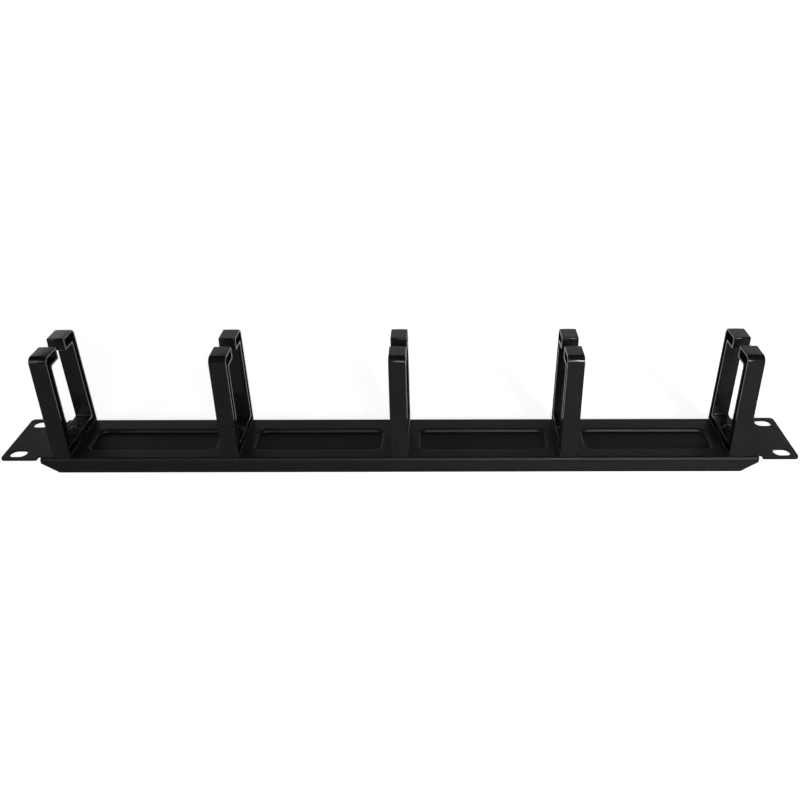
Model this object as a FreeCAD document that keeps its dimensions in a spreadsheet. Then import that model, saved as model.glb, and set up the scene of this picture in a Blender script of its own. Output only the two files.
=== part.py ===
import FreeCAD, Part
import math
import os

import Sketcher
from FreeCAD import Vector

# Horizontal cable manager for a 19-inch rack, one unit high: a folded sheet-steel panel that carries five
# moulded D-rings, each held by one pan-head screw with a washer and a nut behind the sheet.
#
# Frame: +X along the panel, +Y up the rack, +Z out of the front face towards the cables. The origin is in
# the middle of the footprint, on the plane of the two flange edges. All sizes are in millimetres.

RING_COUNT = 5
POCKET_COUNT = 4

# Driving dimensions. Every one becomes a cell of the sheet, under the same name.
SIZES = {
    # panel
    "panel_length": 482.6,
    "panel_height": 43.6,
    "sheet": 1.5,
    "flange_drop": 10.3,
    "bend_outer": 1.8,
    "flange_length": 434.4,
    "flange_low_length": 414.6,
    "flange_step": 6.8,
    "relief_width": 2.2,
    "relief_depth": 3.2,
    "ear_corner": 2.5,
    "relief_corner": 1.0,
    # rack slots
    "slot_spacing_x": 465.1,
    "slot_spacing_y": 31.75,
    "slot_length": 10.3,
    "slot_width": 7.1,
    # pressed pockets
    "pocket_length": 78.1,
    "pocket_width": 20.7,
    "pocket_depth": 1.9,
    "pocket_draft": 15.0,
    "pocket_corner": 4.3,
    "pocket_shoulder": 2.0,
    "pocket_drop": 1.4,
    # rings
    "ring_pitch": 102.0,
    "ring_height": 67.8,
    "ring_depth_base": 42.2,
    "ring_depth_top": 39.6,
    "ring_width_base": 10.4,
    "ring_width_top": 9.9,
    "ring_section": 6.0,
    "arm_section": 8.0,
    "base_bar": 7.0,
    "mould_draft": 1.0,
    "rim": 1.5,
    "recess_corner": 1.5,
    "web": 3.0,
    "gap_top": 9.4,
    "gap_bottom": 8.8,
    "ring_corner": 3.8,
    "nose_corner": 0.8,
    "nose_tip_corner": 1.2,
    "arm_corner": 1.5,
    "base_corner": 0.8,
    "boss_length": 10.0,
    # fasteners
    "thread": 4.0,
    "ring_hole": 4.4,
    "panel_hole": 4.5,
    "screw_head": 8.0,
    "head_height": 3.1,
    "seat": 8.6,
    "seat_depth": 2.4,
    "screw_length": 12.0,
    "drive_width": 1.0,
    "drive_span": 4.4,
    "drive_depth": 1.9,
    "washer_outer": 9.0,
    "washer_hole": 4.3,
    "washer_thick": 0.8,
    "nut_flats": 7.0,
    "nut_height": 3.2,
}


def derive():
    """Add the sizes that follow from the driving ones."""
    size = SIZES
    draft = math.radians(size["pocket_draft"])
    bend = math.pi / 2 - draft
    size["panel_half"] = size["panel_length"] / 2
    size["height_half"] = size["panel_height"] / 2
    size["inside_half"] = size["height_half"] - size["sheet"]
    size["sheet_under"] = size["flange_drop"] - size["sheet"]
    size["bend_inner"] = size["bend_outer"] - size["sheet"]
    size["flange_half"] = size["flange_length"] / 2
    size["flange_low_half"] = size["flange_low_length"] / 2
    size["ear_start"] = size["flange_half"] + size["relief_width"]
    size["neck_half"] = size["height_half"] - size["relief_depth"]
    size["slot_x"] = size["slot_spacing_x"] / 2
    size["slot_y"] = size["slot_spacing_y"] / 2
    size["slot_radius"] = size["slot_width"] / 2
    size["slot_reach"] = (size["slot_length"] - size["slot_width"]) / 2
    size["slot_in"] = size["slot_x"] - size["slot_reach"]
    size["slot_out"] = size["slot_x"] + size["slot_reach"]
    size["ring_first"] = size["ring_pitch"] * (RING_COUNT - 1) / 2
    size["ring_run"] = size["ring_pitch"] * (RING_COUNT - 1)
    size["pocket_run"] = size["ring_pitch"] * (POCKET_COUNT - 1)
    size["pocket_first"] = size["pocket_run"] / 2
    size["pocket_near"] = size["pocket_first"] - size["pocket_length"] / 2
    size["pocket_far"] = size["pocket_first"] + size["pocket_length"] / 2
    size["pocket_half"] = size["pocket_width"] / 2
    size["pocket_slope"] = size["pocket_depth"] * math.tan(draft)
    size["pocket_floor"] = size["flange_drop"] - size["pocket_depth"]
    size["floor_near"] = size["pocket_near"] + size["pocket_slope"]
    size["floor_far"] = size["pocket_far"] - size["pocket_slope"]
    size["floor_half"] = size["pocket_half"] - size["pocket_slope"]
    size["shell_step"] = size["sheet"] * math.tan(bend / 2)
    size["shell_bottom"] = size["pocket_floor"] - size["sheet"]
    size["shell_near"] = size["pocket_near"] - size["shell_step"]
    size["shell_far"] = size["pocket_far"] + size["shell_step"]
    size["shell_half"] = size["pocket_half"] + size["shell_step"]
    size["shell_floor_near"] = size["shell_near"] + size["pocket_slope"]
    size["shell_floor_far"] = size["shell_far"] - size["pocket_slope"]
    size["shell_floor_half"] = size["shell_half"] - size["pocket_slope"]
    size["foot_trim"] = 1.0
    size["trim_out"] = size["ring_width_base"]
    size["trim_high"] = size["ring_height"] + 1.0
    size["half_base"] = size["ring_depth_base"] / 2
    size["half_top"] = size["ring_depth_top"] / 2
    size["side_base"] = size["ring_width_base"] / 2
    size["side_top"] = size["ring_width_top"] / 2
    size["web_half"] = size["web"] / 2
    size["arm_under"] = size["ring_height"] - size["arm_section"]
    size["inner_base"] = leg_face(size["base_bar"]) - size["ring_section"]
    size["inner_top"] = leg_face(size["arm_under"]) - size["ring_section"]
    size["gap_top_half"] = size["gap_top"] / 2
    size["gap_bottom_half"] = size["gap_bottom"] / 2
    size["boss_half"] = size["boss_length"] / 2
    size["recess_high"] = size["ring_height"] - size["rim"]
    size["recess_under"] = size["arm_under"] + size["rim"]
    size["recess_bar"] = size["base_bar"] - size["rim"]
    size["recess_out_base"] = leg_face(size["rim"]) - size["rim"]
    size["recess_side_top"] = size["recess_high"] - size["recess_corner"]
    size["recess_out_top"] = leg_face(size["recess_side_top"]) - size["rim"]
    size["recess_top_out"] = size["recess_out_top"] - size["recess_corner"]
    size["recess_in_base"] = leg_face(size["recess_bar"]) - size["ring_section"] + size["rim"]
    size["recess_in_top"] = leg_face(size["recess_under"]) - size["ring_section"] + size["rim"]
    size["recess_nose_high"] = size["gap_top_half"] + size["rim"]
    size["recess_nose_low"] = size["gap_bottom_half"] + size["rim"] + 0.6
    size["thread_radius"] = size["thread"] / 2
    size["ring_hole_radius"] = size["ring_hole"] / 2
    size["head_radius"] = size["screw_head"] / 2
    size["seat_radius"] = size["seat"] / 2
    size["seat_high"] = size["base_bar"] - size["seat_depth"]
    size["head_high"] = size["seat_high"] + size["head_height"]
    size["screw_under"] = size["screw_length"] - size["seat_high"]
    size["drive_half"] = size["drive_width"] / 2
    size["drive_reach"] = size["drive_span"] / 2
    size["washer_under"] = size["sheet_under"] - size["washer_thick"]
    size["nut_under"] = size["washer_under"] - size["nut_height"]
    size["nut_side"] = size["nut_flats"] / math.sqrt(3)
    size["nut_half"] = size["nut_flats"] / 2
    size["nut_point_half"] = size["nut_side"] / 2


def leg_face(height):
    """Distance of a leg's outer face from the ring's middle plane, at a height above the panel."""
    base = SIZES["ring_depth_base"] / 2
    top = SIZES["ring_depth_top"] / 2
    return base + (top - base) * height / SIZES["ring_height"]


def make_sheet(doc):
    """The spreadsheet of named dimensions that drives every sub-part."""
    sheet = doc.addObject("Spreadsheet::Sheet", "Dimensions")
    for row, (alias, size) in enumerate(SIZES.items(), start=1):
        sheet.set("A%d" % row, alias)
        sheet.set("B%d" % row, "%.6f" % size)
        sheet.setAlias("B%d" % row, alias)
    doc.recompute()
    return sheet


def cell(alias):
    return "Dimensions." + alias


def signed(term):
    """Size of a term: a cell's alias, the alias after a minus sign, or 0."""
    if term == "0":
        return 0.0
    if term.startswith("-"):
        return -SIZES[term[1:]]
    return SIZES[term]


def opposite(term):
    if term == "0":
        return term
    return term[1:] if term.startswith("-") else "-" + term


def new_body(doc, label):
    body = doc.addObject("PartDesign::Body", label)
    body.Label = label
    return body


def origin_feature(body, role):
    return next(item for item in body.Origin.OriginFeatures if item.Role == role)


def new_sketch(body, name, role, lift=None):
    """Sketch on one of the body's own origin planes, lifted along the plane's normal by a cell."""
    sketch = body.newObject("Sketcher::SketchObject", name)
    sketch.AttachmentSupport = (origin_feature(body, role), [""])
    sketch.MapMode = "FlatFace"
    if lift:
        sketch.setExpression("AttachmentOffset.Base.z", cell(lift))
    return sketch


def pin(sketch, kind, geometry, point, term):
    """Tie one coordinate of a point to a cell."""
    if term == "0":
        axis = -2 if kind == "DistanceX" else -1
        sketch.addConstraint(Sketcher.Constraint("PointOnObject", geometry, point, axis))
        return
    ends = (geometry, point, -1, 1) if term.startswith("-") else (-1, 1, geometry, point)
    row = sketch.addConstraint(Sketcher.Constraint(kind, *ends, abs(signed(term))))
    sketch.setExpression("Constraints[%d]" % row, cell(term.lstrip("-")))


def polygon(sketch, corners):
    """Closed outline through corners, each a pair of terms (across, up)."""
    points = [Vector(signed(across), signed(up), 0) for across, up in corners]
    first = sketch.GeometryCount
    count = len(corners)
    for i in range(count):
        sketch.addGeometry(Part.LineSegment(points[i], points[(i + 1) % count]), False)
    for i, (across, up) in enumerate(corners):
        sketch.addConstraint(Sketcher.Constraint("Coincident", first + (i - 1) % count, 2, first + i, 1))
        pin(sketch, "DistanceX", first + i, 1, across)
        pin(sketch, "DistanceY", first + i, 1, up)


def circle(sketch, across, up, diameter):
    centre = Vector(signed(across), signed(up), 0)
    index = sketch.addGeometry(Part.Circle(centre, Vector(0, 0, 1), SIZES[diameter] / 2), False)
    pin(sketch, "DistanceX", index, 3, across)
    pin(sketch, "DistanceY", index, 3, up)
    row = sketch.addConstraint(Sketcher.Constraint("Diameter", index, SIZES[diameter]))
    sketch.setExpression("Constraints[%d]" % row, cell(diameter))


def slot(sketch, left, right, up, radius):
    """Round-ended slot along the sketch's first axis, between two end centres."""
    low = Vector(signed(left), signed(up), 0)
    high = Vector(signed(right), signed(up), 0)
    reach = SIZES[radius]
    rise = Vector(0, reach, 0)
    normal = Vector(0, 0, 1)
    quarter = math.pi / 2
    first = sketch.GeometryCount
    sketch.addGeometry(Part.ArcOfCircle(Part.Circle(low, normal, reach), quarter, 3 * quarter), False)
    sketch.addGeometry(Part.LineSegment(low - rise, high - rise), False)
    sketch.addGeometry(Part.ArcOfCircle(Part.Circle(high, normal, reach), -quarter, quarter), False)
    sketch.addGeometry(Part.LineSegment(high + rise, low + rise), False)
    for i, (end, start) in enumerate(((2, 1), (2, 1), (2, 1), (2, 1))):
        following = first + (i + 1) % 4
        sketch.addConstraint(Sketcher.Constraint("Tangent", first + i, end, following, start))
    for geometry, across in ((first, left), (first + 2, right)):
        pin(sketch, "DistanceX", geometry, 3, across)
        pin(sketch, "DistanceY", geometry, 3, up)
    row = sketch.addConstraint(Sketcher.Constraint("Radius", first, reach))
    sketch.setExpression("Constraints[%d]" % row, cell(radius))


def pad(body, name, sketch, length, symmetric=False, reversed_way=False):
    feature = body.newObject("PartDesign::Pad", name)
    feature.Profile = sketch
    feature.Reversed = reversed_way
    if symmetric:
        feature.SideType = "Symmetric"
    feature.setExpression("Length", cell(length))
    body.Document.recompute()
    return feature


def pocket(body, name, sketch, depth=None, symmetric=False, reversed_way=False):
    """Cut by a cell's depth, or through everything when no depth is given."""
    feature = body.newObject("PartDesign::Pocket", name)
    feature.Profile = sketch
    feature.Reversed = reversed_way
    if symmetric:
        feature.SideType = "Symmetric"
    if depth:
        feature.setExpression("Length", cell(depth))
    else:
        feature.Type = "ThroughAll"
    body.Document.recompute()
    return feature


def frustum(body, kind, name, low, high, reach_low, reach_high):
    """Block with sloped walls between two heights. A reach is (near, far, half) of its rectangle in plan."""
    feature = body.newObject("PartDesign::" + kind, name)
    feature.AttachmentSupport = (origin_feature(body, "XZ_Plane"), [""])
    feature.MapMode = "FlatFace"
    feature.setExpression("AttachmentOffset.Base.z", cell("pocket_drop"))
    feature.setExpression("Ymin", cell(low))
    feature.setExpression("Ymax", cell(high))
    for prefix, (near_end, far_end, half) in (("", reach_low), ("2", reach_high)):
        feature.setExpression("X%smin" % prefix, "-" + cell(far_end))
        feature.setExpression("X%smax" % prefix, "-" + cell(near_end))
        feature.setExpression("Z%smin" % prefix, "-" + cell(half))
        feature.setExpression("Z%smax" % prefix, cell(half))
    body.Document.recompute()
    return feature


def draft_sides(body, name, angle):
    """Lean every face that stands square on the parting plane inwards, away from that plane."""
    base = body.Tip
    feature = body.newObject("PartDesign::Draft", name)
    leaning = [
        "Face%d" % (i + 1) for i, face in enumerate(base.Shape.Faces) if abs(face.normalAt(0, 0).x) < 0.5]
    feature.Base = (base, leaning)
    feature.NeutralPlane = (origin_feature(body, "YZ_Plane"), [""])
    body.Document.recompute()
    feature.setExpression("Angle", cell(angle))
    body.Document.recompute()
    return feature


def edges_where(feature, test):
    edges = feature.Shape.Edges
    return ["Edge%d" % (i + 1) for i, edge in enumerate(edges) if test(edge)]


def round_edges(body, name, radius, test):
    base = body.Tip
    feature = body.newObject("PartDesign::Fillet", name)
    feature.Base = (base, edges_where(base, test))
    feature.setExpression("Radius", cell(radius))
    body.Document.recompute()
    return feature


def repeat_along_x(body, name, originals, run, count):
    feature = body.newObject("PartDesign::LinearPattern", name)
    feature.Originals = originals
    feature.Direction = (origin_feature(body, "X_Axis"), [""])
    feature.setExpression("Length", cell(run))
    feature.Occurrences = count
    body.Tip = feature
    body.Document.recompute()
    return feature


def near(value, target, slack=0.02):
    return abs(value - target) < slack


def along_x_at(places):
    """Test for edges parallel to X that pass through one of the places (y, z)."""
    def test(edge):
        box = edge.BoundBox
        if box.YLength > 0.6 or box.ZLength > 0.6 or box.XLength < 1:
            return False
        return any(near(box.Center.y, y, 0.3) and near(box.Center.z, z, 0.3) for y, z in places)
    return test


def upright_at(places):
    """Test for edges parallel to Z that pass through one of the places (x, y)."""
    def test(edge):
        box = edge.BoundBox
        if box.XLength > 0.01 or box.YLength > 0.01:
            return False
        return any(near(box.Center.x, x) and near(box.Center.y, y) for x, y in places)
    return test


def both_ways(*values):
    return [sign * value for value in values for sign in (-1, 1)]


def make_panel(doc):
    body = new_body(doc, "panel")
    size = SIZES

    section = new_sketch(body, "ChannelSection", "YZ_Plane")
    polygon(section, [
        ("-height_half", "0"), ("-height_half", "flange_drop"), ("height_half", "flange_drop"),
        ("height_half", "0"), ("inside_half", "0"), ("inside_half", "sheet_under"),
        ("-inside_half", "sheet_under"), ("-inside_half", "0")])
    pad(body, "Channel", section, "flange_length", symmetric=True)
    outer = [(y, size["flange_drop"]) for y in both_ways(size["height_half"])]
    inner = [(y, size["sheet_under"]) for y in both_ways(size["inside_half"])]
    round_edges(body, "BendOuter", "bend_outer", along_x_at(outer))
    round_edges(body, "BendInner", "bend_inner", along_x_at(inner))

    ends = new_sketch(body, "FlangeEnds", "XZ_Plane")
    for low, out in (("flange_low_half", "flange_half"), ("-flange_low_half", "-flange_half")):
        polygon(ends, [(low, "0"), (out, "0"), (out, "flange_step")])
    pocket(body, "FlangeEndCuts", ends, symmetric=True)

    ears = new_sketch(body, "EarOutlines", "XY_Plane", lift="sheet_under")
    right = [
        ("flange_half", "-neck_half"), ("ear_start", "-neck_half"), ("ear_start", "-height_half"),
        ("panel_half", "-height_half"), ("panel_half", "height_half"), ("ear_start", "height_half"),
        ("ear_start", "neck_half"), ("flange_half", "neck_half")]
    polygon(ears, right)
    polygon(ears, [(opposite(across), up) for across, up in right])
    pad(body, "Ears", ears, "sheet")
    tips = [(x, y) for x in both_ways(size["panel_half"]) for y in both_ways(size["height_half"])]
    heels = [(x, y) for x in both_ways(size["ear_start"]) for y in both_ways(size["height_half"])]
    round_edges(body, "EarCorners", "ear_corner", upright_at(tips))
    round_edges(body, "ReliefCorners", "relief_corner", upright_at(heels))

    slots = new_sketch(body, "RackSlots", "XY_Plane", lift="flange_drop")
    for up in ("slot_y", "-slot_y"):
        slot(slots, "slot_in", "slot_out", up, "slot_radius")
        slot(slots, "-slot_out", "-slot_in", up, "slot_radius")
    pocket(body, "RackSlotCuts", slots)

    holes = new_sketch(body, "RingHoles", "XY_Plane", lift="flange_drop")
    circle(holes, "-ring_first", "0", "panel_hole")
    first_holes = pocket(body, "RingHoleCuts", holes)
    repeat_along_x(body, "RingHoleRow", [first_holes], "ring_run", RING_COUNT)

    press_pockets(body)
    return body


def press_pockets(body):
    """The four long pockets, pressed into the sheet a little below the panel's middle line."""
    size = SIZES
    shell = frustum(
        body, "AdditiveWedge", "PocketShell", "shell_bottom", "sheet_under",
        ("shell_floor_near", "shell_floor_far", "shell_floor_half"),
        ("shell_near", "shell_far", "shell_half"))
    hollow = frustum(
        body, "SubtractiveWedge", "PocketHollow", "pocket_floor", "flange_drop",
        ("floor_near", "floor_far", "floor_half"), ("pocket_near", "pocket_far", "pocket_half"))
    repeat_along_x(body, "PocketRow", [shell, hollow], "pocket_run", POCKET_COUNT)

    centres = [size["ring_pitch"] * (i - (POCKET_COUNT - 1) / 2) for i in range(POCKET_COUNT)]

    def in_a_pocket(point):
        reach = size["shell_far"] - size["pocket_first"] + 0.1
        aside = abs(point.y + size["pocket_drop"])
        return aside < size["shell_half"] + 0.1 and any(abs(point.x - x) < reach for x in centres)

    def corner_edge(edge):
        box = edge.BoundBox
        return box.ZLength > 1 and in_a_pocket(box.Center)

    def mouth_edge(edge):
        box = edge.BoundBox
        return box.ZLength < 0.01 and near(box.Center.z, size["flange_drop"]) and in_a_pocket(box.Center)

    round_edges(body, "PocketCorners", "pocket_corner", corner_edge)
    round_edges(body, "PocketShoulders", "pocket_shoulder", mouth_edge)


def ring_half_outline():
    """Outline of the ring from the middle of its foot round to the nose of one arm, one side of the gap."""
    return [
        ("half_base", "-foot_trim"), ("half_base", "0"), ("half_top", "ring_height"),
        ("gap_top_half", "ring_height"), ("gap_bottom_half", "arm_under"), ("inner_top", "arm_under"),
        ("inner_base", "base_bar")]


def recess_outline():
    """Outline of the hollow between the two rims, from the screw boss round to the nose."""
    return [
        ("boss_half", "rim"), ("recess_out_base", "rim"), ("recess_out_top", "recess_side_top"),
        ("recess_top_out", "recess_high"), ("recess_nose_high", "recess_high"),
        ("recess_nose_low", "recess_under"),
        ("recess_in_top", "recess_under"), ("recess_in_base", "recess_bar"), ("boss_half", "recess_bar")]


def make_ring(doc, number):
    """One moulded ring. Half of its width is modelled from the parting plane outwards, then mirrored."""
    body = new_body(doc, "ring_%d" % number)
    size = SIZES
    side = ring_half_outline()

    profile = new_sketch(body, "RingProfile", "YZ_Plane")
    polygon(profile, side + [(opposite(across), up) for across, up in reversed(side)])
    pad(body, "RingHalf", profile, "trim_out")
    draft_sides(body, "MouldDraft", "mould_draft")
    corners = {
        "RingCorners": ("ring_corner", size["half_top"], size["ring_height"]),
        "NoseCorners": ("nose_corner", size["gap_top_half"], size["ring_height"]),
        "NoseTips": ("nose_tip_corner", size["gap_bottom_half"], size["arm_under"]),
        "ArmCorners": ("arm_corner", size["inner_top"], size["arm_under"]),
        "BaseCorners": ("base_corner", size["inner_base"], size["base_bar"])}
    for name, (radius, y, z) in corners.items():
        round_edges(body, name, radius, along_x_at([(-y, z), (y, z)]))

    trim = new_sketch(body, "SideTrim", "XZ_Plane")
    polygon(trim, [
        ("0", "-foot_trim"), ("trim_out", "-foot_trim"), ("trim_out", "trim_high"),
        ("side_top", "trim_high"), ("side_top", "ring_height"), ("side_base", "0"), ("0", "0")])
    pocket(body, "SideTrimCut", trim, symmetric=True)

    recess = new_sketch(body, "SideRecess", "YZ_Plane", lift="web_half")
    polygon(recess, recess_outline())
    polygon(recess, [(opposite(across), up) for across, up in recess_outline()])
    pocket(body, "SideRecessCut", recess, reversed_way=True)

    whole = body.newObject("PartDesign::Mirrored", "WholeRing")
    whole.TransformMode = "Whole shape"
    whole.MirrorPlane = (origin_feature(body, "YZ_Plane"), [""])
    body.Tip = whole
    doc.recompute()

    bore = new_sketch(body, "ScrewSeat", "XZ_Plane")
    polygon(bore, [
        ("0", "-foot_trim"), ("ring_hole_radius", "-foot_trim"), ("ring_hole_radius", "seat_high"),
        ("seat_radius", "seat_high"), ("seat_radius", "head_high"), ("0", "head_high")])
    seat = body.newObject("PartDesign::Groove", "ScrewSeatCut")
    seat.Profile = bore
    seat.ReferenceAxis = (bore, ["V_Axis"])
    seat.Angle = 360
    doc.recompute()
    place_in_row(body, number, "flange_drop")
    return body


def place_in_row(body, number, lift):
    """Put a piece of the numbered ring in its place along the panel, lifted by a cell."""
    steps = number - (RING_COUNT + 1) // 2
    body.setExpression("Placement.Base.x", "%s * (%d)" % (cell("ring_pitch"), steps))
    body.setExpression("Placement.Base.z", cell(lift))


def revolve(body, name, sketch):
    feature = body.newObject("PartDesign::Revolution", name)
    feature.Profile = sketch
    feature.ReferenceAxis = (sketch, ["V_Axis"])
    feature.Angle = 360
    body.Document.recompute()
    return feature


def make_screw(doc, number):
    """Machine screw with a pan head and a cross drive, its head seated in the ring's base bar."""
    body = new_body(doc, "screw_%d" % number)
    profile = new_sketch(body, "ScrewProfile", "XZ_Plane")
    polygon(profile, [
        ("0", "-screw_under"), ("thread_radius", "-screw_under"), ("thread_radius", "seat_high"),
        ("head_radius", "seat_high"), ("head_radius", "head_high"), ("0", "head_high")])
    revolve(body, "ScrewBlank", profile)

    drive = new_sketch(body, "CrossDrive", "XY_Plane", lift="head_high")
    polygon(drive, [
        ("drive_half", "drive_half"), ("drive_half", "drive_reach"), ("-drive_half", "drive_reach"),
        ("-drive_half", "drive_half"), ("-drive_reach", "drive_half"), ("-drive_reach", "-drive_half"),
        ("-drive_half", "-drive_half"), ("-drive_half", "-drive_reach"), ("drive_half", "-drive_reach"),
        ("drive_half", "-drive_half"), ("drive_reach", "-drive_half"), ("drive_reach", "drive_half")])
    pocket(body, "CrossDriveCut", drive, depth="drive_depth")
    place_in_row(body, number, "flange_drop")
    return body


def make_washer(doc, number):
    body = new_body(doc, "washer_%d" % number)
    profile = new_sketch(body, "WasherProfile", "XY_Plane")
    circle(profile, "0", "0", "washer_outer")
    circle(profile, "0", "0", "washer_hole")
    pad(body, "WasherPad", profile, "washer_thick")
    place_in_row(body, number, "washer_under")
    return body


def make_nut(doc, number):
    body = new_body(doc, "nut_%d" % number)
    profile = new_sketch(body, "NutProfile", "XY_Plane")
    polygon(profile, [
        ("nut_side", "0"), ("nut_point_half", "nut_half"), ("-nut_point_half", "nut_half"),
        ("-nut_side", "0"), ("-nut_point_half", "-nut_half"), ("nut_point_half", "-nut_half")])
    circle(profile, "0", "0", "thread")
    pad(body, "NutPad", profile, "nut_height")
    place_in_row(body, number, "nut_under")
    return body


def check_document(doc, bodies):
    failed = [item.Name for item in doc.Objects if {"Invalid", "Error"} & set(item.State)]
    if failed:
        raise RuntimeError("failed objects: " + ", ".join(failed))
    for body in bodies:
        if body.Shape.isNull() or not body.Shape.isValid() or len(body.Shape.Solids) != 1:
            raise RuntimeError("bad shape: " + body.Label)


def main():
    derive()
    doc = FreeCAD.newDocument("HorizontalCableManager")
    make_sheet(doc)
    bodies = [make_panel(doc)]
    for number in range(1, RING_COUNT + 1):
        bodies.append(make_ring(doc, number))
        bodies.append(make_screw(doc, number))
        bodies.append(make_washer(doc, number))
        bodies.append(make_nut(doc, number))
    doc.recompute()
    check_document(doc, bodies)
    os.makedirs("parts", exist_ok=True)
    for body in bodies:
        body.Shape.exportStep("parts/%s.step" % body.Label)
        box = body.Shape.BoundBox
        print("%-10s %9.1f mm3  %.1f x %.1f x %.1f" % (
            body.Label, body.Shape.Volume, box.XLength, box.YLength, box.ZLength))


main()
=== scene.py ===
import math

import bmesh
import bpy
from mathutils import Matrix, Vector


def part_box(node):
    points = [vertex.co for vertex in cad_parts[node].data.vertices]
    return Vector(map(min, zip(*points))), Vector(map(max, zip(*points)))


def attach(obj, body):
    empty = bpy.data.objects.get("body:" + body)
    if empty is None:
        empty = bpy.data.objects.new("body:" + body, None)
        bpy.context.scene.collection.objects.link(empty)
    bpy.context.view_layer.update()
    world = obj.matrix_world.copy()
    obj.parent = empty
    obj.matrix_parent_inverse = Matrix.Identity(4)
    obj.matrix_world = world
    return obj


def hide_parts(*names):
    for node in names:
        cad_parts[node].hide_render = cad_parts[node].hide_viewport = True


# Horizontal cable manager: a black powder-coated panel with five black moulded rings. The CAD nodes give
# every place and size. This script rounds their edges, adds the fasteners' detail and sets materials, light
# and camera. Lengths are in metres.

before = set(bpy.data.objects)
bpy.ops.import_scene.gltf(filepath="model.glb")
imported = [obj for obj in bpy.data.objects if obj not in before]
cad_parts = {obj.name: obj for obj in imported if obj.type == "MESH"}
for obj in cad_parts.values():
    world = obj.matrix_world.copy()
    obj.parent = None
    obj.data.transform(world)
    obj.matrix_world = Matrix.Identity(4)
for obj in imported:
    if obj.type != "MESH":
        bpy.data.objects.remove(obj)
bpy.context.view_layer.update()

RINGS = 5

# Distance between the middles of the two ears' slots.
SLOT_SPACING = 0.4651

# Radii of the rounded edges, and the least angle of an edge that is rounded.
RING_EDGE = 0.00035
PANEL_EDGE = 0.00022
WASHER_EDGE = 0.00012
SHARP = math.radians(35)

# In a CAD mesh, points nearer than the first are one point, a cut runs through points nearer than the
# second, and faces within the third are one flat face.
WELD_DISTANCE = 2e-6
SNAP_DISTANCE = 1e-6
FLAT_ANGLE = math.radians(0.6)

# Normals of the planes that part a mesh: along the panel, across it and level.
ALONG = Vector((0, 1, 0))
ACROSS = Vector((1, 0, 0))
LEVEL = Vector((0, 0, 1))

# Pan-head M4 screw. The top of its head and the end of its shank come from the CAD node.
SCREW_STEPS = 48
HEAD_HEIGHT = 0.0031
HEAD_RADIUS = 0.004
HEAD_BEVEL = 0.0001
CROWN_ROUND = 0.0013
CROWN_ROUND_STEPS = 8
CROWN_RISE = 0.00022
CROWN_FLAT = HEAD_RADIUS * 0.35
SHANK_RADIUS = 0.002
PLAIN_SHANK = 0.0012
THREAD_PITCH = 0.0007
THREAD_DEPTH = 0.0004
ROWS_IN_PITCH = 8
TIP_BEVEL = 0.0004

# Cross recess for the driver. Each level has its height from the crown and its share of the reach. An arm
# narrows a little where its reach does, and half its width is never more than CROSS_LIMIT of the reach.
CROSS_REACH = 0.0021
CROSS_WIDTH = 0.00095
CROSS_DEPTH = 0.0018
CROSS_TAPER = 0.15
CROSS_LIMIT = 0.7
CROSS_LEVELS = [(0.0005, 1.06), (-CROSS_DEPTH * 0.75, 0.62), (-CROSS_DEPTH, 0.12)]

# Hexagon nut: size across its flats, the round outer face's share of that, the slope of the bevel round
# that face, and the width and depth of the bevel at the mouth of the bore.
NUT_STEPS = 72
NUT_FLATS = 0.007
NUT_FACE = 0.96
NUT_BEVEL = math.radians(30)
BORE_BEVEL_WIDTH = 0.00025
BORE_BEVEL_DEPTH = 0.0002

# Depth of the pressed pockets, the farthest that they reach from the panel's middle line, and the width of
# the border over which the shade painted into them, as a lower shine, fades out.
POCKET_DEPTH = 0.0019
POCKET_REACH = 0.0145
POCKET_BORDER = 0.002

# Shine on the pockets' floors, lowered there to paint their shade, and the coat's shine on the rest of the
# panel.
POCKET_SHADE_SHINE = 0.18
COAT_SHINE = 0.4

# The middle range of a noise, which tints and roughness are spread over.
NOISE_LOW = 0.3
NOISE_HIGH = 0.7

# The table reaches this far each way. It glows for the camera, and its mirrored glow rises between two
# places in Y, so that the part behind the object shows white in reflections.
TABLE_REACH = 1.45
TABLE_GLOW = 0.86
MIRRORED_GLOW = 0.8
MIRRORED_FRONT = -0.02
MIRRORED_BACK = 0.03
ROOM_LEVEL = 0.008

# Area lamps: name, place, aim, width, depth, power in watts and spread in degrees.
LAMPS = [
    ("front_softbox", (0.27, -1.4, 0.6), (0.1, 0, 0.05), 0.8, 0.6, 7.4, 180),
    ("right_spot", (0.42, -1.0, 0.5), (0.17, 0, 0.03), 0.25, 0.5, 0.21, 28),
    ("left_softbox", (-1.05, -1.1, 0.6), (-0.1, 0, 0.1), 0.5, 0.95, 3.2, 180),
    ("back_panel", (0.1, 1.5, 0.48), (0.05, 0, 0.1), 3.2, 0.85, 4.2, 180),
    ("back_left", (-1.15, 1.1, 0.4), (-0.22, 0, 0.1), 0.8, 0.7, 0.7, 180),
    ("back_right", (1.2, 1.1, 0.4), (0.22, 0, 0.1), 0.8, 0.7, 0.9, 180),
    ("back_floor", (0.1, 0.95, 0.9), (0.1, 1.0, 0), 1.8, 0.5, 10, 70),
]

# Camera: its place, its yaw, pitch and roll in degrees, its sensor and lens in millimetres, and the lens's
# shift as a share of the picture's width.
CAMERA_PLACE = (0.02522, -0.4047, 0.29168)
CAMERA_TURNS = (-0.053, 27.98, -0.15)
SENSOR_WIDTH = 36
LENS = 35.0888
LENS_SHIFT = (-0.0506, -0.06995)


# ---------------------------------------------------------------- small helpers

def new_object(name, data):
    """An object in the scene with this mesh, light or camera."""
    item = bpy.data.objects.new(name, data)
    bpy.context.scene.collection.objects.link(item)
    return item


def mesh_of(form, name):
    """A new mesh with the faces of a bmesh form, which is freed."""
    mesh = bpy.data.meshes.new(name)
    form.to_mesh(mesh)
    form.free()
    return mesh


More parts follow.
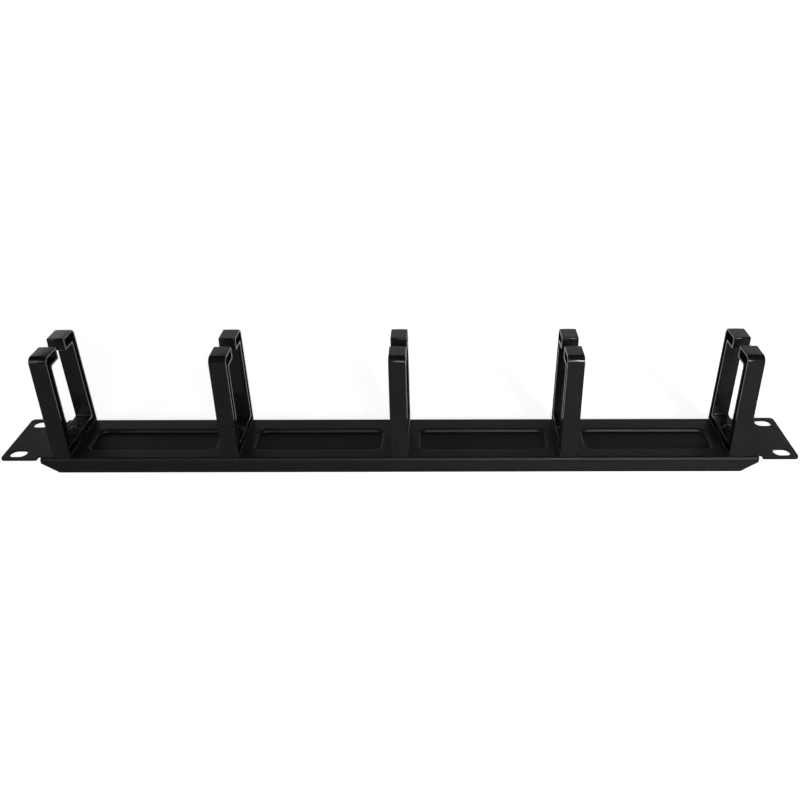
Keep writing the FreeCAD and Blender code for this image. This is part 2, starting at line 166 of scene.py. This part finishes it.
def applied(item):
    """The mesh that an object's modifiers make."""
    graph = bpy.context.evaluated_depsgraph_get()
    return bpy.data.meshes.new_from_object(item.evaluated_get(graph), depsgraph=graph)


# ---------------------------------------------------------------- material nodes

def blank_material(name):
    """A material whose nodes are its output alone."""
    material = bpy.data.materials.new(name)
    material.use_nodes = True
    nodes = material.node_tree.nodes
    nodes.clear()
    return material, nodes.new("ShaderNodeOutputMaterial")


def new_material(name, settings):
    """A material with one principled shader, which has these values on its sockets."""
    material, output = blank_material(name)
    shader = material.node_tree.nodes.new("ShaderNodeBsdfPrincipled")
    material.node_tree.links.new(shader.outputs["BSDF"], output.inputs["Surface"])
    for socket, value in settings.items():
        shader.inputs[socket].default_value = value
    return material, shader


def own_place(material):
    """Place in the object's own space."""
    return material.node_tree.nodes.new("ShaderNodeTexCoord").outputs["Object"]


def own_axes(material):
    """X, Y and Z in the object's own space, by name."""
    axes = material.node_tree.nodes.new("ShaderNodeSeparateXYZ")
    material.node_tree.links.new(own_place(material), axes.inputs["Vector"])
    return axes.outputs


def noise(material, scale, detail, roughness=0.5):
    """Noise in the object's own space, in cycles a metre."""
    texture = material.node_tree.nodes.new("ShaderNodeTexNoise")
    texture.inputs["Scale"].default_value = scale
    texture.inputs["Detail"].default_value = detail
    texture.inputs["Roughness"].default_value = roughness
    material.node_tree.links.new(own_place(material), texture.inputs["Vector"])
    return texture.outputs["Fac"]


def scaled(material, value, from_low, from_high, to_low, to_high):
    """The value mapped from one range to another, and held at both ends."""
    band = material.node_tree.nodes.new("ShaderNodeMapRange")
    band.inputs["From Min"].default_value = from_low
    band.inputs["From Max"].default_value = from_high
    band.inputs["To Min"].default_value = to_low
    band.inputs["To Max"].default_value = to_high
    material.node_tree.links.new(value, band.inputs["Value"])
    return band.outputs["Result"]


def computed(material, operation, *values):
    """The result of a math operation on values that are sockets or plain numbers."""
    step = material.node_tree.nodes.new("ShaderNodeMath")
    step.operation = operation
    for place, value in zip(step.inputs, values):
        if isinstance(value, bpy.types.NodeSocket):
            material.node_tree.links.new(value, place)
        else:
            place.default_value = value
    return step.outputs["Value"]


def tint(material, shader, value, dark, light):
    """Base colour that runs from dark to light with a noise."""
    ramp = material.node_tree.nodes.new("ShaderNodeValToRGB")
    for end, position, colour in zip(ramp.color_ramp.elements, (NOISE_LOW, NOISE_HIGH), (dark, light)):
        end.position = position
        end.color = (*colour, 1)
    material.node_tree.links.new(value, ramp.inputs["Fac"])
    material.node_tree.links.new(ramp.outputs["Color"], shader.inputs["Base Color"])


def roughen(material, shader, value, low, high):
    """Roughness that runs from low to high with a noise."""
    band = scaled(material, value, NOISE_LOW, NOISE_HIGH, low, high)
    material.node_tree.links.new(band, shader.inputs["Roughness"])


def grain(material, shader, layers):
    """Bump from several noises, each (noise, height in metres)."""
    links = material.node_tree.links
    normal = None
    for value, height in layers:
        bump = material.node_tree.nodes.new("ShaderNodeBump")
        bump.inputs["Strength"].default_value = 1
        bump.inputs["Distance"].default_value = height
        links.new(value, bump.inputs["Height"])
        if normal:
            links.new(normal, bump.inputs["Normal"])
        normal = bump.outputs["Normal"]
    links.new(normal, shader.inputs["Normal"])


def paint_pocket_shade(material, shader, face):
    """Painted shade: lower the shine where the sheet lies below its face, between the two bends."""
    axes = own_axes(material)
    raised = scaled(material, axes["Z"], face - POCKET_DEPTH, face - POCKET_DEPTH / 2, 0, 1)
    off_middle = computed(material, "ABSOLUTE", axes["Y"])
    beside = scaled(material, off_middle, POCKET_REACH, POCKET_REACH + POCKET_BORDER, 0, 1)
    outside = computed(material, "MAXIMUM", raised, beside)
    # The lowered shine paints shade on the pockets' floors and lower walls.
    shine = scaled(material, outside, 0, 1, POCKET_SHADE_SHINE, COAT_SHINE)
    material.node_tree.links.new(shine, shader.inputs["Specular IOR Level"])


# ---------------------------------------------------------------- materials

def powder_coat(face):
    """Satin black powder coat, a fine dry grain over a soft orange peel, with painted shade in the pockets.

    The panel's face is at this height.
    """
    material, shader = new_material("powder_coat_black", {})
    # Painted shade in the pockets, as a lower shine.
    paint_pocket_shade(material, shader, face)
    fine = noise(material, scale=2600, detail=3, roughness=0.6)
    peel = noise(material, scale=420, detail=2)
    cloud = noise(material, scale=38, detail=3)
    tint(material, shader, fine, dark=(0.0075, 0.0075, 0.008), light=(0.0125, 0.0125, 0.0132))
    roughen(material, shader, cloud, low=0.44, high=0.52)
    grain(material, shader, [(peel, 0.00001), (fine, 0.000004)])
    return material


def moulded_plastic():
    """Black moulded plastic with the faint grain of a spark-eroded tool."""
    material, shader = new_material("moulded_plastic_black", {"Specular IOR Level": 0.42, "IOR": 1.5})
    fine = noise(material, scale=3400, detail=2)
    flow = noise(material, scale=55, detail=2)
    tint(material, shader, flow, dark=(0.0105, 0.0105, 0.011), light=(0.0145, 0.0147, 0.0147))
    roughen(material, shader, flow, low=0.09, high=0.13)
    grain(material, shader, [(fine, 0.000003)])
    return material


def plated_steel():
    """Black zinc plating, a little uneven."""
    material, shader = new_material("black_zinc", {"Metallic": 0.6, "Specular IOR Level": 0.5})
    mottle = noise(material, scale=900, detail=4)
    tint(material, shader, mottle, dark=(0.012, 0.012, 0.013), light=(0.03, 0.03, 0.031))
    roughen(material, shader, mottle, low=0.28, high=0.42)
    grain(material, shader, [(mottle, 0.000006)])
    return material


def table_white():
    """White that keeps soft shadows, glows for the camera, and behind the object in reflections too."""
    material, output = blank_material("table_white")
    nodes = material.node_tree.nodes
    links = material.node_tree.links
    path = nodes.new("ShaderNodeLightPath")
    behind = scaled(material, own_axes(material)["Y"], MIRRORED_FRONT, MIRRORED_BACK, 0, MIRRORED_GLOW)
    seen = computed(material, "MULTIPLY", path.outputs["Is Camera Ray"], TABLE_GLOW)
    mirrored = computed(material, "MULTIPLY", path.outputs["Is Glossy Ray"], behind)
    diffuse = nodes.new("ShaderNodeBsdfDiffuse")
    diffuse.inputs["Color"].default_value = (0.8, 0.8, 0.8, 1)
    light = nodes.new("ShaderNodeEmission")
    links.new(computed(material, "MAXIMUM", seen, mirrored), light.inputs["Strength"])
    both = nodes.new("ShaderNodeAddShader")
    links.new(diffuse.outputs["BSDF"], both.inputs[0])
    links.new(light.outputs["Emission"], both.inputs[1])
    links.new(both.outputs["Shader"], output.inputs["Surface"])
    return material


# ---------------------------------------------------------------- rounded copies of CAD nodes

def new_piece(name, mesh, material, node):
    """Put a finished mesh in the scene as a piece that stands for a CAD node."""
    piece = new_object(name, mesh)
    mesh.materials.clear()
    mesh.materials.append(material)
    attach(piece, "root")
    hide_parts(node)


def finished(mesh, edge=0, segments=1):
    """A mesh with its sharp edges rounded, where an edge radius is given, and its flat faces shaded flat."""
    helper = new_object("helper", mesh)
    for polygon in mesh.polygons:
        polygon.use_smooth = True
    if edge:
        bevel = helper.modifiers.new("edges", "BEVEL")
        bevel.width = edge
        bevel.segments = segments
        bevel.limit_method = "ANGLE"
        bevel.angle_limit = SHARP
        bevel.use_clamp_overlap = True
        bevel.miter_outer = "MITER_ARC"
    weighted = helper.modifiers.new("normals", "WEIGHTED_NORMAL")
    weighted.keep_sharp = True
    weighted.weight = 100
    result = applied(helper)
    bpy.data.objects.remove(helper)
    return result


def welded(node, cuts):
    """Copy of a CAD node's mesh with its seams welded and its flat faces merged.

    A flat face with a hole in it has to stay in two parts. The cuts, each (point, normal), say where the
    parts meet.
    """
    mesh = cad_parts[node].data.copy()
    for name in ("custom_normal", "sharp_edge"):
        if name in mesh.attributes:
            mesh.attributes.remove(mesh.attributes[name])
    form = bmesh.new()
    form.from_mesh(mesh)
    bmesh.ops.remove_doubles(form, verts=form.verts, dist=WELD_DISTANCE)
    for point, normal in cuts:
        made = bmesh.ops.bisect_plane(
            form, geom=form.verts[:] + form.edges[:] + form.faces[:], dist=SNAP_DISTANCE,
            plane_co=point, plane_no=normal)
        for item in made["geom_cut"]:
            if isinstance(item, bmesh.types.BMEdge):
                item.seam = True
    bmesh.ops.dissolve_limit(
        form, angle_limit=FLAT_ANGLE, verts=form.verts, edges=form.edges, delimit={"NORMAL", "SEAM"})
    form.to_mesh(mesh)
    form.free()
    return mesh


def middle_cut(node, normal):
    """The plane through the middle of a piece."""
    low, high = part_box(node)
    return (low + high) / 2, normal


def rounded_copy(node, material, cuts, edge, segments):
    """Stand a copy with rounded edges in the place of a CAD node."""
    mesh = finished(welded(node, cuts), edge, segments)
    new_piece(node + "_rounded", mesh, material, node)


def make_panel(material):
    """Panel, parted through its row of holes and pockets and through the slots of each ear."""
    cuts = [middle_cut("panel", ALONG)]
    cuts += [(Vector((x, 0, 0)), ACROSS) for x in (-SLOT_SPACING / 2, SLOT_SPACING / 2)]
    rounded_copy("panel", material, cuts, PANEL_EDGE, segments=2)


def make_ring(node, material):
    cuts = [middle_cut(node, ALONG), middle_cut(node, LEVEL)]
    rounded_copy(node, material, cuts, RING_EDGE, segments=3)


def make_washer(node, material):
    rounded_copy(node, material, [middle_cut(node, ALONG)], WASHER_EDGE, segments=2)


# ---------------------------------------------------------------- screws and nuts

def level_ring(form, height, radii):
    """Vertices at one height and at equal turns round the Z axis, each at its own radius."""
    steps = len(radii)
    angles = [2 * math.pi * i / steps for i in range(steps)]
    return [form.verts.new((r * math.cos(a), r * math.sin(a), height)) for r, a in zip(radii, angles)]


def join_rings(form, rings):
    """Faces between each ring of vertices and the next. The last ring can be a single point."""
    steps = len(rings[0])
    for first, second in zip(rings, rings[1:]):
        for i in range(steps):
            j = (i + 1) % steps
            corners = [first[i], first[j], second[j % len(second)], second[i % len(second)]]
            form.faces.new(list(dict.fromkeys(corners)))


def to_middle_of(node, mesh):
    """Move a mesh from the Z axis to the upright axis of a CAD node."""
    low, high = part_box(node)
    mesh.transform(Matrix.Translation(((low.x + high.x) / 2, (low.y + high.y) / 2, 0)))


def thread_rings(form, low, high):
    """Screw thread between two heights, with a bevelled tip. It fades out over one pitch at each end."""
    rows = round((high - low) / THREAD_PITCH * ROWS_IN_PITCH)
    rings = []
    for row in range(rows + 1):
        height = low + (high - low) * row / rows
        fade = min(1, (height - low) / THREAD_PITCH, (high - height) / THREAD_PITCH)
        tip = max(0, TIP_BEVEL - (height - low))
        radii = []
        for i in range(SCREW_STEPS):
            phase = ((height - low) / THREAD_PITCH - i / SCREW_STEPS) % 1
            groove = THREAD_DEPTH * (1 - abs(2 * phase - 1))
            radii.append(SHANK_RADIUS - max(groove * fade, tip))
        rings.append(level_ring(form, height, radii))
    return rings


def pan_head_outline(head_low, head_high):
    """Radius and height of each point of the head's outline, from the shank to the flat of the crown."""
    round_radius = HEAD_RADIUS - CROWN_ROUND
    round_height = head_high - CROWN_RISE - CROWN_ROUND
    outline = [
        (SHANK_RADIUS, head_low), (HEAD_RADIUS - HEAD_BEVEL, head_low), (HEAD_RADIUS, head_low + HEAD_BEVEL)]
    for i in range(CROWN_ROUND_STEPS + 1):
        a = math.radians(90) * i / CROWN_ROUND_STEPS
        outline.append((round_radius + CROWN_ROUND * math.cos(a), round_height + CROWN_ROUND * math.sin(a)))
    return outline + [(CROWN_FLAT, head_high)]


def screw_mesh(name, low, high):
    """The whole screw, its tip at low and its crown at high, on the Z axis."""
    head_low = high - HEAD_HEIGHT
    form = bmesh.new()
    rings = thread_rings(form, low, head_low - PLAIN_SHANK)
    for radius, height in pan_head_outline(head_low, high):
        rings.append(level_ring(form, height, [radius] * SCREW_STEPS))
    rings.append([form.verts.new((0, 0, high))])
    join_rings(form, rings)
    form.faces.new(list(reversed(rings[0])))
    return mesh_of(form, name)


def cross_cutter(crown):
    """A cross whose arms taper as they go down, for the driver's recess."""
    form = bmesh.new()
    rings = []
    for rise, share in CROSS_LEVELS:
        reach = CROSS_REACH * share
        half = min(CROSS_WIDTH / 2, reach * CROSS_LIMIT) * (1 - CROSS_TAPER + CROSS_TAPER * share)
        arm = [(half, half), (half, reach), (-half, reach)]
        plan = []
        for _ in range(4):
            plan += arm
            arm = [(-y, x) for x, y in arm]
        rings.append([form.verts.new((x, y, crown + rise)) for x, y in plan])
    join_rings(form, rings)
    form.faces.new(list(reversed(rings[0])))
    form.faces.new(rings[-1])
    bmesh.ops.recalc_face_normals(form, faces=form.faces)
    return mesh_of(form, "cross")


def cut(mesh, cutter_mesh):
    """The mesh with the cutter's volume taken out."""
    body = new_object("body", mesh)
    cutter = new_object("cutter", cutter_mesh)
    step = body.modifiers.new("cut", "BOOLEAN")
    step.operation = "DIFFERENCE"
    step.solver = "EXACT"
    step.object = cutter
    result = applied(body)
    bpy.data.objects.remove(body)
    bpy.data.objects.remove(cutter)
    return result


def make_screw(node, material):
    """Pan-head screw with a thread and a cross recess."""
    low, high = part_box(node)
    mesh = cut(screw_mesh(node + "_mesh", low.z, high.z), cross_cutter(high.z))
    to_middle_of(node, mesh)
    new_piece(node + "_threaded", finished(mesh), material, node)


def nut_mesh(name, low, high):
    """Hexagon nut with its bevelled outer face and the bevelled mouth of its bore at low, on the Z axis."""
    face_radius = NUT_FLATS / 2 * NUT_FACE
    half_side = math.pi / 6
    form = bmesh.new()
    rows = []
    for i in range(NUT_STEPS):
        a = 2 * math.pi * i / NUT_STEPS
        from_corner = abs((a + half_side) % (2 * half_side) - half_side)
        side = NUT_FLATS / 2 / math.cos(half_side - from_corner)
        bevel = (side - face_radius) * math.tan(NUT_BEVEL)
        outline = [
            (SHANK_RADIUS, high), (side, high), (side, low + bevel), (face_radius, low),
            (SHANK_RADIUS + BORE_BEVEL_WIDTH, low), (SHANK_RADIUS, low + BORE_BEVEL_DEPTH)]
        rows.append([form.verts.new((r * math.cos(a), r * math.sin(a), z)) for r, z in outline])
    join_rings(form, rows + rows[:1])
    bmesh.ops.recalc_face_normals(form, faces=form.faces)
    return mesh_of(form, name)


def make_nut(node, material):
    low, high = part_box(node)
    mesh = nut_mesh(node + "_mesh", low.z, high.z)
    to_middle_of(node, mesh)
    new_piece(node + "_bevelled", finished(mesh), material, node)


# ---------------------------------------------------------------- stage

def make_floor():
    """The table that the object lies on."""
    form = bmesh.new()
    bmesh.ops.create_grid(form, x_segments=1, y_segments=1, size=TABLE_REACH)
    mesh = mesh_of(form, "table")
    mesh.materials.append(table_white())
    floor = new_object("table", mesh)


def make_world():
    """Dim grey room round the table, white where the camera sees it."""
    world = bpy.data.worlds.new("room")
    bpy.context.scene.world = world
    world.use_nodes = True
    tree = world.node_tree
    tree.nodes.clear()
    output = tree.nodes.new("ShaderNodeOutputWorld")
    path = tree.nodes.new("ShaderNodeLightPath")
    choice = tree.nodes.new("ShaderNodeMixShader")
    tree.links.new(path.outputs["Is Camera Ray"], choice.inputs["Fac"])
    tree.links.new(choice.outputs["Shader"], output.inputs["Surface"])
    room = ((0.97, 0.99, 1, 1), ROOM_LEVEL)
    white = ((1, 1, 1, 1), 1)
    for place, (colour, level) in zip(choice.inputs[1:], (room, white)):
        background = tree.nodes.new("ShaderNodeBackground")
        background.inputs["Color"].default_value = colour
        background.inputs["Strength"].default_value = level
        tree.links.new(background.outputs["Background"], place)


def add_lamp(name, place, aim, width, depth, power, spread):
    """Area lamp that faces the point that it is aimed at."""
    light = bpy.data.lights.new(name, "AREA")
    light.shape = "RECTANGLE"
    light.size = width
    light.size_y = depth
    light.energy = power
    light.spread = math.radians(spread)
    lamp = new_object(name, light)
    lamp.location = place
    lamp.rotation_euler = (Vector(aim) - Vector(place)).to_track_quat("-Z", "Y").to_euler()


def make_camera():
    """Camera above and in front of the panel, looking down at it by twenty-eight degrees."""
    data = bpy.data.cameras.new("camera")
    data.sensor_width = SENSOR_WIDTH
    data.lens = LENS
    data.shift_x, data.shift_y = LENS_SHIFT
    data.clip_start = 0.01
    data.clip_end = 50
    camera = new_object("camera", data)
    yaw, pitch, roll = (math.radians(turn) for turn in CAMERA_TURNS)
    ahead = Vector((math.sin(yaw) * math.cos(pitch), math.cos(yaw) * math.cos(pitch), -math.sin(pitch)))
    level = Vector((math.cos(yaw), -math.sin(yaw), 0))
    above = level.cross(ahead)
    right = math.cos(roll) * level + math.sin(roll) * above
    up = -math.sin(roll) * level + math.cos(roll) * above
    axes = Matrix((right, up, -ahead)).transposed()
    camera.matrix_world = Matrix.Translation(CAMERA_PLACE) @ axes.to_4x4()
    bpy.context.scene.camera = camera


coat = powder_coat(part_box("panel")[1].z)
plastic = moulded_plastic()
plating = plated_steel()
make_panel(coat)
for number in range(1, RINGS + 1):
    make_ring("ring_%d" % number, plastic)
    make_washer("washer_%d" % number, plating)
    make_screw("screw_%d" % number, plating)
    make_nut("nut_%d" % number, plating)

make_floor()
make_world()
for lamp_settings in LAMPS:
    add_lamp(*lamp_settings)
make_camera()

bpy.context.scene.view_settings.view_transform = "Standard"
